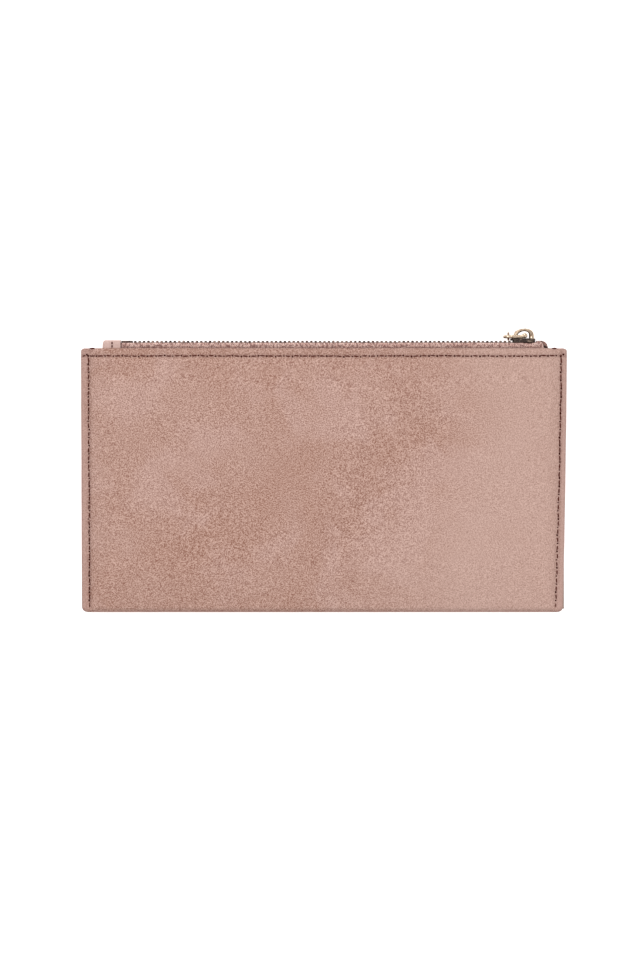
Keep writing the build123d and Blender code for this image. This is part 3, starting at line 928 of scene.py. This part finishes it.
chain = {
    "pitch": 1.784,
    "first": -77.0,         # left side of the first tooth past the bottom stop
    "last": 80.0,
    "length": 1.02,
    "topBack": 56.55,
    "topFront": 56.0,       # the chain leans, so this row stands lower
    "low": 54.9,
    "inner": -0.3,
    "outer": 1.95,
    "rim": 0.26,
    "lift": 0.05,           # how unevenly the teeth stand
}


def addBlock(bm, low, high, rim):
    # a block with eased edges
    made = bmesh.ops.create_cube(bm, size=1.0)["verts"]
    for vert in made:
        for axis in range(3):
            vert.co[axis] = (low[axis] if vert.co[axis] < 0 else high[axis]) * mm
        vert.co.z += midZ
    edges = {edge for vert in made for edge in vert.link_edges}
    bmesh.ops.bevel(bm, geom=list(edges), offset=rim * mm, segments=2, affect="EDGES", profile=0.5)


def toothRow(face, name, node):
    bm = bmesh.new()
    x = chain["first"] + (0 if face > 0 else chain["pitch"] / 2)
    high = chain["topBack"] if face > 0 else chain["topFront"]
    dice = random.Random(31 + face)
    while x < chain["last"]:
        z0, z1 = sorted((face * chain["inner"], face * chain["outer"]))
        lift = dice.uniform(-chain["lift"], chain["lift"])
        addBlock(bm, (x, chain["low"], z0), (x + chain["length"], high + lift, z1), chain["rim"])
        x += chain["pitch"]
    metalObject(name, bm, materials["teeth_metal"], "pouch", node)


toothRow(1, "zipTeethBack", "zipper_teeth_back")
toothRow(-1, "zipTeethFront", "zipper_teeth_front")
print("teeth made")


slider = {
    "left": 75.5,
    "right": 85.75,
    "plateLow": 56.65,
    "plateTop": 57.45,
    "tail": 2.6,
    "nose": 3.5,
    "wallLow": 55.75,
    "lowTop": 54.75,
    "lowPlate": 0.75,
    "flangeFrom": 1.6,      # flanges stand where the outline is this far out
    "flangeHalves": (0.28, 0.58),
    "postX": 82.6,
    "postHalves": (1.75, 0.4),
}


def sliderOutline(inset, count=40):
    # a rounded shield, narrow at the tail and wide at the nose
    places = []
    middle = (slider["left"] + slider["right"]) / 2
    half = (slider["right"] - slider["left"]) / 2
    for k in range(count):
        angle = 2 * math.pi * k / count
        c, d = math.cos(angle), math.sin(angle)
        size = (abs(c) ** 4 + abs(d) ** 4) ** -0.25
        x = c * size
        wide = slider["tail"] + (slider["nose"] - slider["tail"]) * smooth(x, -0.4, 0.6)
        places.append((middle + x * (half - inset), d * size * (wide - inset)))
    return places


def addPlate(bm, low, high, rim, crown, shrink=0.0):
    # a plate with rolled rims, domed a little in the middle
    layers = [(low, rim + shrink), (low + rim * 0.3, rim * 0.3 + shrink), (low + rim, shrink),
              (high - rim, shrink), (high - rim * 0.3, rim * 0.3 + shrink), (high, rim + shrink),
              (high + crown * 0.6, 1.1 + shrink), (high + crown, 2.0 + shrink)]
    rings = [[bm.verts.new(Vector((x * mm, y * mm, midZ + z * mm))) for x, z in sliderOutline(inset)]
             for y, inset in layers]
    for first, second in zip(rings, rings[1:]):
        bridge(bm, first, second)
    bm.faces.new(rings[0])
    bm.faces.new(rings[-1])


def makeSliderBody():
    bm = bmesh.new()
    addPlate(bm, slider["plateLow"], slider["plateTop"], 0.28, 0.1)
    addPlate(bm, slider["lowTop"] - slider["lowPlate"], slider["lowTop"], 0.24, 0.0, 0.5)
    # the flanges that hold the teeth, under the plate's long sides
    for side in (-1, 1):
        points = []
        for x, z in sliderOutline(0.3):
            if z * side > slider["flangeFrom"]:
                points.append(Vector((x, (slider["wallLow"] + slider["plateLow"]) / 2 + 0.1, z)))
        points.sort(key=lambda point: point.x)
        path = curvePath(points, 1, Vector((0, 1, 0)))
        tubeAlong(bm, path, lambda t: slider["flangeHalves"], sides=8)
    post = Vector((slider["postX"], 0, 0))
    path = [(post + Vector((0, y, 0)), Vector((1, 0, 0)), Vector((0, 0, 1)))
            for y in (slider["lowTop"] - 0.2, slider["plateLow"] + 0.2)]
    tubeAlong(bm, path, lambda t: slider["postHalves"])
    metalObject("sliderPlates", bm, gunmetal, "slider", "slider_body")


bail = {
    "line": [(77.6, 57.3), (77.65, 58.5), (78.1, 59.75), (79.4, 60.6), (81.0, 60.98),
             (82.5, 60.85), (83.65, 60.2), (84.15, 59.0), (84.25, 57.3)],
    # half thickness at places along the band
    "halves": [0.76, 0.82, 0.82, 0.66, 0.56, 0.66, 0.88, 1.02, 1.1],
    "halfWidth": 1.12,
}


def makeBail():
    bm = bmesh.new()
    points = [Vector((x, y, 0)) for x, y in bail["line"]]
    path = curvePath(points, 5, Vector((0, 0, 1)))
    sizes = bail["halves"]

    def halves(t):
        k = min(int(t * (len(sizes) - 1)), len(sizes) - 2)
        part = t * (len(sizes) - 1) - k
        foot = 1 + 0.2 * (1 - smooth(t, 0, 0.1)) + 0.2 * smooth(t, 0.9, 1)
        return sizes[k] + (sizes[k + 1] - sizes[k]) * part, bail["halfWidth"] * foot

    # the arch's inner edge gets painted shade
    tubeAlong(bm, path, halves, sides=16, shadeSide=1)
    metalObject("sliderBail", bm, materials["slider_metal"], "slider", "slider_bail")


pull = {
    "eyeX": 74.843,
    "middleY": 58.2,
    "noseRadius": 1.43,
    "noseBand": 0.79,
    "halfThick": 0.66,
    "railZ": 1.83,
    "railBand": 0.38,
    "pivot": (81.5, 58.65),
    "rail": [(76.6, 58.22), (78.6, 58.2), (80.3, 58.34), (81.3, 58.6)],
    # places along the end bar and its radius at each, swelling at the rails
    "bar": [(-2.24, 0.6), (-2.0, 0.95), (-1.5, 1.02), (-1.1, 0.9),
            (1.1, 0.9), (1.5, 1.02), (2.0, 0.95), (2.24, 0.6)],
}


def makeLink():
    bm = bmesh.new()
    up = Vector((0, 1, 0))
    eye = Vector((pull["eyeX"], pull["middleY"], 0))
    nose = []
    for k in range(28):
        angle = 2 * math.pi * k / 28
        outward = Vector((math.cos(angle), 0, math.sin(angle)))
        nose.append((eye + outward * pull["noseRadius"], outward, up))
    tubeAlong(bm, nose, lambda t: (pull["noseBand"], pull["halfThick"]), closed=True)
    px, py = pull["pivot"]
    for side in (-1, 1):
        z = side * pull["railZ"]
        points = [Vector((pull["eyeX"] + 0.6, pull["middleY"], side * 1.75))]
        points += [Vector((x, y, z)) for x, y in pull["rail"]]
        path = curvePath(points, 3, up)
        tubeAlong(bm, path, lambda t: (pull["railBand"], pull["halfThick"] + 0.22 * smooth(t, 0.6, 1)))
    bar = [(Vector((px, py, z)), Vector((1, 0, 0)), up) for z, _ in pull["bar"]]
    sizes = [radius for _, radius in pull["bar"]]
    tubeAlong(bm, bar, lambda t: (sizes[round(t * (len(sizes) - 1))],) * 2, sides=18, power=2)
    metalObject("pullLink", bm, materials["slider_metal"], "pull", "pull_link")


ring = {
    "centre": (74.843, 58.42, -1.6),
    "halfHigh": 1.36,
    "halfDeep": 1.6,
    "wire": 0.42,
}


def makeRing():
    bm = bmesh.new()
    path = []
    for k in range(32):
        angle = 2 * math.pi * k / 32
        outward = Vector((0, math.cos(angle), math.sin(angle)))
        place = Vector((0, outward.y * ring["halfHigh"], outward.z * ring["halfDeep"]))
        path.append((Vector(ring["centre"]) + place, outward, Vector((1, 0, 0))))
    tubeAlong(bm, path, lambda t: (ring["wire"], ring["wire"]), closed=True, sides=10, power=2)
    metalObject("pullRing", bm, materials["slider_metal"], "ring", "pull_ring")


makeSliderBody()
makeBail()
makeLink()
makeRing()
print("slider made")


endTab = {
    "left": -89.8,
    "right": -82.4,
    "top": 56.75,
    "faceHalf": 4.1,
    "low": -0.9,            # how far its feet reach below the mouth
    "bend": 1.5,
    "leftRound": 1.25,
    "thick": 0.8,
    "pressX": -85.8,        # its stitches press it in here
    "press": 0.22,
    "columns": 26,
}


def makeTab():
    # a saddle from the back hem over the chain to the front hem, pinched shut at its left end
    half, bend, high = endTab["faceHalf"], endTab["bend"], endTab["top"]
    side = [(top + endTab["low"], half - 0.25)]
    side += [(y, half) for y in (top - 0.2, top + 0.6, high - bend - 0.3)]
    side += roundBend(high, half, bend) + [(high + 0.04, 1.2)]
    path = side + [(high + 0.06, 0.0)] + [(y, -z) for y, z in reversed(side)]

    def place(column, row):
        y, z = path[row]
        x = endTab["left"] + (endTab["right"] - endTab["left"]) * column / endTab["columns"]
        into = min((x - endTab["left"]) / endTab["leftRound"], 1)
        shut = math.sqrt(max(1 - (1 - into) ** 2, 0))
        y = y - (1 - shut) * max(y - top, 0) * 0.55
        z *= 0.04 + 0.96 * shut
        z += 0.1 * wander(x * 3, y * 3, 6, 8.0) * smooth(y, top, top + 1)
        press = endTab["press"] * bump(x, endTab["pressX"], 0.6) * (1 if abs(z) > 2 else 0)
        z -= math.copysign(press, z)
        return Vector((x * mm, y * mm, midZ + z * mm))

    bm = sheetGrid(endTab["columns"], len(path) - 1, place)
    crest = max(bm.faces, key=lambda f: f.calc_center_median().y)
    if crest.normal.y < 0:
        bmesh.ops.reverse_faces(bm, faces=bm.faces)
    obj = finish("zipEndTab", bm, materials["tab_leather"], "pouch")
    solidify(obj, endTab["thick"] * mm)
    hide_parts("zipper_end_tab")


makeTab()
print("end tab made")


slotOf = {part["node"]: part["material_slot"] for part in frame["record"]["subparts"]}
for node, obj in frame["nodes"].items():
    if not obj.hide_render:
        obj.data.materials.clear()
        obj.data.materials.append(materials[slotOf[node]])
print("finishes given")


studio = {
    "frameHeight": 388.3,       # millimetres seen from top to bottom
    "lookAt": (-1.6, 0.1),
    "lens": 200.0,
    "sensor": 36.0,
    "worldStrength": 0.66,
    "keyPower": 7.5,
    "fillPower": 3.5,
}


def makeFloor():
    bm = bmesh.new()
    bmesh.ops.create_grid(bm, x_segments=1, y_segments=1, size=4.0)
    mesh = bpy.data.meshes.new("studioFloor")
    bm.to_mesh(mesh)
    bm.free()
    material, _, shader = newMaterial("paleFloor")
    shader.inputs["Base Color"].default_value = (0.97, 0.97, 0.97, 1.0)
    shader.inputs["Roughness"].default_value = 0.9
    shader.inputs["Emission Color"].default_value = (1.0, 1.0, 1.0, 1.0)
    shader.inputs["Emission Strength"].default_value = 0.5
    mesh.materials.append(material)
    obj = bpy.data.objects.new("studioFloor", mesh)
    obj.location.z = -0.0002
    bpy.context.scene.collection.objects.link(obj)


def areaLight(name, place, size, power):
    light = bpy.data.lights.new(name, "AREA")
    light.shape = "DISK"
    light.size = size
    light.energy = power
    obj = bpy.data.objects.new(name, light)
    obj.location = place
    obj.rotation_euler = Vector(place).to_track_quat("Z", "Y").to_euler()
    bpy.context.scene.collection.objects.link(obj)


def makeStudio():
    makeFloor()
    world = bpy.data.worlds.new("studioWorld")
    world.use_nodes = True
    background = world.node_tree.nodes["Background"]
    background.inputs["Color"].default_value = (1.0, 1.0, 1.0, 1.0)
    background.inputs["Strength"].default_value = studio["worldStrength"]
    bpy.context.scene.world = world
    areaLight("keySoftbox", (-0.35, 0.75, 1.1), 0.9, studio["keyPower"])
    areaLight("fillSoftbox", (0.7, -0.4, 1.0), 1.2, studio["fillPower"])
    camera = bpy.data.cameras.new("studioCamera")
    camera.lens = studio["lens"]
    camera.sensor_width = studio["sensor"]
    distance = studio["lens"] * studio["frameHeight"] / studio["sensor"] * mm
    obj = bpy.data.objects.new("studioCamera", camera)
    obj.location = (studio["lookAt"][0] * mm, studio["lookAt"][1] * mm, wrapHigh.z + distance)
    bpy.context.scene.collection.objects.link(obj)
    bpy.context.scene.camera = obj
    camera.clip_start, camera.clip_end = 0.01, 20
    bpy.context.scene.view_settings.view_transform = "Standard"


makeStudio()
print("studio ready")
